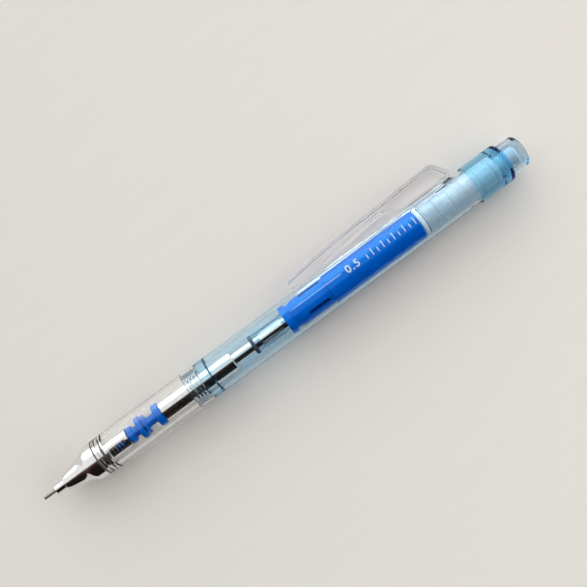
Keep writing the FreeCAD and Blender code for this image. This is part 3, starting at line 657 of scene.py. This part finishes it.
class PENCIL_OT_leads(bpy.types.Operator):
    """The lead in use and three spare leads"""
    bl_idname = "pencil.leads"
    bl_label = "Leads"

    def execute(self, context):
        rear = 45.0
        lead = turned([(0.0, LEAD_RADIUS, 0.05), (rear, LEAD_RADIUS, 0.02), (rear, 0.0), (0.0, 0.0)],
                      sides=ROD_SIDES, rounding=0)
        finish_piece(lead, "lead_rod", finish("graphite"), "lead", ["lead"])
        spares = bmesh.new()
        middle, apart = 82.5, 0.35
        for number in range(3):
            turn = math.radians(120 * number + 90)
            rod = bmesh.ops.create_cone(spares, cap_ends=True, segments=20, radius1=LEAD_RADIUS,
                                        radius2=LEAD_RADIUS, depth=60.0,
                                        matrix=Matrix.Rotation(math.pi / 2, 4, "Y"))
            bmesh.ops.translate(spares, verts=rod["verts"],
                                vec=(middle, apart * math.cos(turn), apart * math.sin(turn)))
        finish_piece(spares, "spare_lead_rods", finish("graphite"), "push_unit",
                     ["spare_leads"])
        return {"FINISHED"}


class PENCIL_OT_weight(bpy.types.Operator):
    """Chrome shake weight that slides on the lead pipe"""
    bl_idname = "pencil.weight"
    bl_label = "Shake weight"

    def execute(self, context):
        front, rear, radius = extent("shake_weight")
        bore = 1.8
        weight = turned([(front, bore), (rear, bore), (rear, radius, 0.35), (front, radius, 0.35)],
                        segments=4)
        finish_piece(weight, "weight_slug", finish("chrome_plate"), "weight",
                     ["shake_weight"])
        return {"FINISHED"}


# ------------------------------------------------------------------------------------------------- clip
class PENCIL_OT_clip(bpy.types.Operator):
    """Clear pocket clip with the foot and the lock shoe inside the barrel"""
    bl_idname = "pencil.clip"
    bl_label = "Pocket clip"

    def execute(self, context):
        width, tip_share, taper_front, taper_length = 5.0, 0.78, 80.4, 34.0
        outline = [(80.9, 7.7)]
        outline += arc_points(outline[-1], (92.0, 9.3), (108.0, 9.65), 12)
        outline += arc_points(outline[-1], (120.0, 10.1), (126.2, 10.34), 8)
        outline += arc_points(outline[-1], (127.2, 10.2), (127.8, 9.4), 5)
        outline += [(129.7, 6.2)]
        outline += arc_points(outline[-1], (130.0, 5.47), (129.4, 5.47), 4)
        outline += [(126.2, 5.47), (125.8, 5.12), (114.7, 5.12)]
        outline += arc_points(outline[-1], (113.6, 5.3), (113.2, 6.0), 4)
        outline += arc_points(outline[-1], (111.4, 8.3), (107.5, 7.9), 10)
        outline += arc_points(outline[-1], (99.0, 7.1), (91.1, 6.25), 8)
        outline += arc_points(outline[-1], (90.6, 6.1), (90.5, 5.7), 3)
        outline += arc_points(outline[-1], (90.5, 5.32), (89.9, 5.32), 3)
        outline += [(81.7, 5.32)]
        outline += arc_points(outline[-1], (80.5, 5.4), (80.45, 6.5), 5)
        bm = bmesh.new()
        side = bm.faces.new([bm.verts.new((x, r, -width / 2)) for x, r in outline])
        grown = bmesh.ops.extrude_face_region(bm, geom=[side])
        moved = [item for item in grown["geom"] if isinstance(item, bmesh.types.BMVert)]
        bmesh.ops.translate(bm, verts=moved, vec=(0, 0, width))
        for vert in bm.verts:
            share = min(max((vert.co.x - taper_front) / taper_length, 0.0), 1.0)
            vert.co.z *= tip_share + (1 - tip_share) * share
        bmesh.ops.recalc_face_normals(bm, faces=bm.faces)
        rims = [edge for edge in bm.edges if abs(edge.verts[0].co.z - edge.verts[1].co.z) < 0.3]
        bmesh.ops.bevel(bm, geom=rims, offset=0.42, offset_type="OFFSET", segments=4, profile=0.5,
                        affect="EDGES", clamp_overlap=True, material=-1)
        finish_piece(bm, "pocket_clip", finish("clear_clip"), "clip", ["clip"], crease=40)
        foot = bmesh.new()
        bmesh.ops.create_cube(foot, size=1.0)
        bmesh.ops.scale(foot, verts=foot.verts, vec=(7.7, 0.95, 2.2))
        bmesh.ops.translate(foot, verts=foot.verts, vec=(120.35, 4.62, 0))
        bmesh.ops.bevel(foot, geom=foot.edges[:], offset=0.12, offset_type="OFFSET", segments=2,
                        profile=0.5, affect="EDGES", material=-1)
        finish_piece(foot, "clip_foot", finish("clear_clip"), "clip")
        shoe = bmesh.new()
        front, rear, outer, inner = 117.6, 123.1, 4.1, 3.75
        section = [shoe.verts.new((x, radius, 0)) for x, radius in ((front, outer), (rear, outer),
                                                                    (rear, inner), (front, inner))]
        face = shoe.faces.new(section)
        bmesh.ops.rotate(shoe, verts=section, cent=(0, 0, 0),
                         matrix=Matrix.Rotation(math.radians(-100), 3, "X"))
        bmesh.ops.spin(shoe, geom=[face] + list(face.edges) + section, cent=(0, 0, 0), axis=(1, 0, 0),
                       dvec=(0, 0, 0), angle=math.radians(200), steps=50)
        finish_piece(shoe, "lock_shoe_arc", finish("clear_clip"), "clip", ["lock_shoe"])
        return {"FINISHED"}


# ------------------------------------------------------------------------------------------ eraser unit
class PENCIL_OT_eraser(bpy.types.Operator):
    """Eraser guide, spiral tube, holder and eraser"""
    bl_idname = "pencil.eraser"
    bl_label = "Twist eraser"

    def execute(self, context):
        sizes = context.scene.pencil_sizes
        front, rear, _ = extent("eraser_guide")
        guide = turned([
            (front, 1.95), (117.0, 1.95), (117.6, 2.55), (rear, 2.55), (rear, 3.0), (117.0, 3.0),
            (117.0, 3.6, 0.15), (115.9, 3.6, 0.15), (115.9, 3.32), (113.5, 3.32, 0.2), (front, 2.92)],
            segments=3, windows=[(125.3, 136.3, 1.4, [0.0])])
        finish_piece(guide, "guide_plug", finish("white_plastic"), "eraser_unit",
                     ["eraser_guide"])
        front, rear, radius = extent("spiral_tube")
        bore, floor, depth = 3.1, 0.2, 0.12
        corners = [(front, bore, 0), (rear, bore, 0), (rear, radius, 0.1)]
        x = rear - 1.6
        while x > front + 1.5:
            corners += [(x, radius, 0.04), (x - depth, radius - depth, 0.04),
                        (x - depth - floor, radius - depth, 0.04), (x - 2 * depth - floor, radius, 0.04)]
            x -= sizes.ring_spacing
        corners += [(front, radius, 0.1)]
        spiral = turned(corners)
        finish_piece(spiral, "spiral_sleeve", finish("natural_plastic"), "twist",
                     ["spiral_tube"])
        stick = 2.2
        holder = turned([(124.5, 2.42, 0.15), (133.0, 2.42), (133.0, stick), (127.5, stick), (127.5, 0.0),
                         (124.5, 0.0)])
        pin = bmesh.ops.create_cone(holder, cap_ends=True, segments=ROD_SIDES, radius1=0.5, radius2=0.5,
                                    depth=1.2)
        bmesh.ops.translate(holder, verts=pin["verts"], vec=(126.5, 0, 2.7))
        finish_piece(holder, "holder_cup", finish("white_plastic"), "eraser",
                     ["eraser_holder"])
        end = extent("eraser")[1]
        rubber = turned([(127.6, stick), (end, stick, 0.45), (end, 0.0), (127.6, 0.0)], segments=4)
        finish_piece(rubber, "eraser_stick", finish("white_vinyl"), "eraser", ["eraser"])
        return {"FINISHED"}


class PENCIL_OT_tail(bpy.types.Operator):
    """Twist knob, eraser nozzle and clear cap"""
    bl_idname = "pencil.tail"
    bl_label = "Knob and cap"

    def execute(self, context):
        front, rear, radius = extent("twist_knob")
        bore, rear_bore, hole, end_wall = 4.82, 4.5, 3.02, rear - 1.1
        knob = turned([
            (front, bore, 0.08), (139.0, bore, 0.3), (139.4, rear_bore, 0.3), (end_wall, rear_bore, 0.6),
            (end_wall, hole, 0.1), (rear, hole, 0.1), (rear, radius, 1.1), (front, radius, 0.15)],
            segments=6)
        finish_piece(knob, "knob_shell", finish("blue_clear_knob"), "twist",
                     ["twist_knob"])
        nozzle = turned([
            (139.5, 2.5), (145.0, 2.5), (145.0, 2.9, 0.1), (143.8, 2.98), (143.6, 3.07), (143.3, 3.07),
            (143.1, 3.0), (140.4, 3.0), (140.4, 3.6), (139.5, 3.6)])
        finish_piece(nozzle, "nozzle_tube", finish("blue_clear_barrel"), "twist",
                     ["eraser_nozzle"])
        front, rear, radius = extent("eraser_cap")
        bore, floor = 3.13, rear - 0.8
        cap = turned([
            (front, radius, 0.25), (rear, radius, 1.25), (rear, 0.0, 0), (floor, 0.0, 0),
            (floor, 2.4, 0.1), (rear - 1.1, bore, 0.3), (front, bore, 0.1)], segments=6)
        finish_piece(cap, "cap_shell", finish("clear_cap"), "cap", ["eraser_cap"])
        return {"FINISHED"}


# ------------------------------------------------------------------------------------------------ stage
def area_light(name, size, size_y, power, spot):
    """A rectangular light at a spot in the room, turned to the pencil."""
    lamp = bpy.data.lights.new(name, "AREA")
    lamp.shape = "RECTANGLE"
    lamp.size = size
    lamp.size_y = size_y
    lamp.energy = power
    light = bpy.data.objects.new(name, lamp)
    light.location = spot
    light.rotation_euler = (-light.location).to_track_quat("-Z", "Y").to_euler()
    bpy.context.scene.collection.objects.link(light)
    return light


def pale_floor(colour):
    """Matte white-painted board: almost even, with a faint long grain and a few specks."""
    material, tree, output, mm = new_material("pale_painted_board")
    long_grain = add(tree, "ShaderNodeMapping", {"Vector": mm, "Scale": (0.03, 0.25, 0.03),
                                                 "Rotation": (0, 0, math.radians(-50))})
    grain = add(tree, "ShaderNodeTexNoise", {"Vector": long_grain.outputs["Vector"], "Scale": 1.0,
                                             "Detail": 4.0})
    bump = add(tree, "ShaderNodeBump", {"Height": grain.outputs["Fac"], "Strength": 0.04,
                                        "Distance": 0.1 * MM})
    darker = tuple(c * 0.96 for c in colour[:3]) + (1.0,)
    tint = add(tree, "ShaderNodeMix", {"Factor": grain.outputs["Fac"], "A": darker, "B": tuple(colour)},
               data_type="RGBA")
    shader = add(tree, "ShaderNodeBsdfPrincipled", {"Base Color": tint.outputs["Result"], "Roughness": 0.7,
                                                    "Normal": bump.outputs["Normal"]})
    tree.links.new(shader.outputs["BSDF"], output.inputs["Surface"])
    return material


def lit_room(stage):
    """A room that is bright on the clip's side and past the tail, brightest in a low window, and dark
    on the other side, with a warm brown where the dark meets the light."""
    world = bpy.data.worlds.new("soft_room")
    world.use_nodes = True
    tree = world.node_tree
    tree.nodes.clear()
    toward = add(tree, "ShaderNodeTexCoord")
    parts = add(tree, "ShaderNodeSeparateXYZ", {"Vector": toward.outputs["Generated"]})
    across, along = parts.outputs["Y"], parts.outputs["X"]
    clip_side = add(tree, "ShaderNodeMapRange", {"Value": across, "From Min": -0.1, "From Max": 0.08},
                    interpolation_type="SMOOTHSTEP")
    past_tail = add(tree, "ShaderNodeMapRange", {"Value": along, "From Min": 0.35, "From Max": 0.6},
                    interpolation_type="SMOOTHSTEP")
    share = add(tree, "ShaderNodeMath", {0: clip_side.outputs["Result"], 1: past_tail.outputs["Result"]},
                operation="MAXIMUM")
    dim = add(tree, "ShaderNodeMapRange", {"Value": across, "From Min": -0.45, "From Max": -0.12},
              interpolation_type="SMOOTHSTEP")
    shade = add(tree, "ShaderNodeMix", {"Factor": dim.outputs["Result"], "A": tuple(stage.dark_side),
                                        "B": srgb("#4B332B")}, data_type="RGBA")
    tint = add(tree, "ShaderNodeMix", {"Factor": share.outputs["Value"], "A": shade.outputs["Result"],
                                       "B": tuple(stage.bright_side)}, data_type="RGBA")
    window = add(tree, "ShaderNodeMapRange", {"Value": across, "From Min": 0.62, "From Max": 0.76,
                                              "To Min": stage.sky_strength,
                                              "To Max": stage.sky_strength * stage.window_gain},
                 interpolation_type="SMOOTHSTEP")
    background = add(tree, "ShaderNodeBackground", {"Color": tint.outputs["Result"],
                                                    "Strength": window.outputs["Result"]})
    add(tree, "ShaderNodeOutputWorld", {"Surface": background.outputs["Background"]})
    return world


class PENCIL_OT_stage(bpy.types.Operator):
    """Pale floor, soft light and the camera straight above"""
    bl_idname = "pencil.stage"
    bl_label = "Stage"

    def execute(self, context):
        scene = context.scene
        stage = scene.pencil_stage
        floor_mesh = bpy.data.meshes.new("floor")
        bm = bmesh.new()
        bmesh.ops.create_grid(bm, x_segments=1, y_segments=1, size=5.0)
        gap = 0.02 * MM
        bmesh.ops.translate(bm, verts=bm.verts, vec=(0, 0, CAD_BOX[0].z - gap))
        bm.to_mesh(floor_mesh)
        bm.free()
        floor_mesh.materials.append(pale_floor(stage.floor_colour))
        floor = bpy.data.objects.new("floor", floor_mesh)
        scene.collection.objects.link(floor)

        scene.world = lit_room(stage)

        soft_box = area_light("soft_box", 1.6, 0.62, stage.box_power, (0.45, 0.45, 0.5))
        soft_box.data.color = srgb("#FFFCF7")[:3]
        fill = area_light("fill", 1.2, 0.8, stage.fill_power, (0.45, -0.4, 0.5))
        fill.visible_glossy = False
        fill.visible_transmission = False

        view = bpy.data.cameras.new("camera")
        view.sensor_width = 36.0
        distance = stage.camera_height - AXIS_Z
        view.lens = view.sensor_width * distance / stage.view_width
        view.clip_start = 0.01
        camera = bpy.data.objects.new("camera", view)
        along, beside = 80.4, 4.5      # where the camera stands, in mm from the tip and from the axis
        stand = Vector((TIP_X + along * MM, AXIS_Y + beside * MM, stage.camera_height))
        camera.matrix_world = Matrix.Translation(stand) @ Matrix.Rotation(stage.camera_turn, 4, "Z")
        scene.collection.objects.link(camera)
        scene.camera = camera
        scene.view_settings.view_transform = "Standard"
        return {"FINISHED"}


class PENCIL_PT_panel(bpy.types.Panel):
    """Lists the pencil's pieces and sizes"""
    bl_idname = "PENCIL_PT_panel"
    bl_label = "Pencil"
    bl_space_type = "VIEW_3D"
    bl_region_type = "UI"
    bl_category = "Pencil"

    def draw(self, context):
        for group in (context.scene.pencil_sizes, context.scene.pencil_stage):
            for name in group.__annotations__:
                self.layout.prop(group, name)
        for piece in PIECES:
            self.layout.operator(piece.bl_idname)


PIECES = (PENCIL_OT_nose, PENCIL_OT_grip, PENCIL_OT_barrel, PENCIL_OT_print, PENCIL_OT_clutch,
          PENCIL_OT_core, PENCIL_OT_leads, PENCIL_OT_weight, PENCIL_OT_clip, PENCIL_OT_eraser,
          PENCIL_OT_tail, PENCIL_OT_stage)
CLASSES = (PencilSizes, StageSettings) + PIECES + (PENCIL_PT_panel,)


def register():
    for item in CLASSES:
        bpy.utils.register_class(item)
    bpy.types.Scene.pencil_sizes = bpy.props.PointerProperty(type=PencilSizes)
    bpy.types.Scene.pencil_stage = bpy.props.PointerProperty(type=StageSettings)


def unregister():
    del bpy.types.Scene.pencil_stage
    del bpy.types.Scene.pencil_sizes
    for item in reversed(CLASSES):
        bpy.utils.unregister_class(item)


def main():
    register()
    for piece in PIECES:
        group, name = piece.bl_idname.split(".")
        getattr(getattr(bpy.ops, group), name)()


if __name__ == "__main__":
    main()
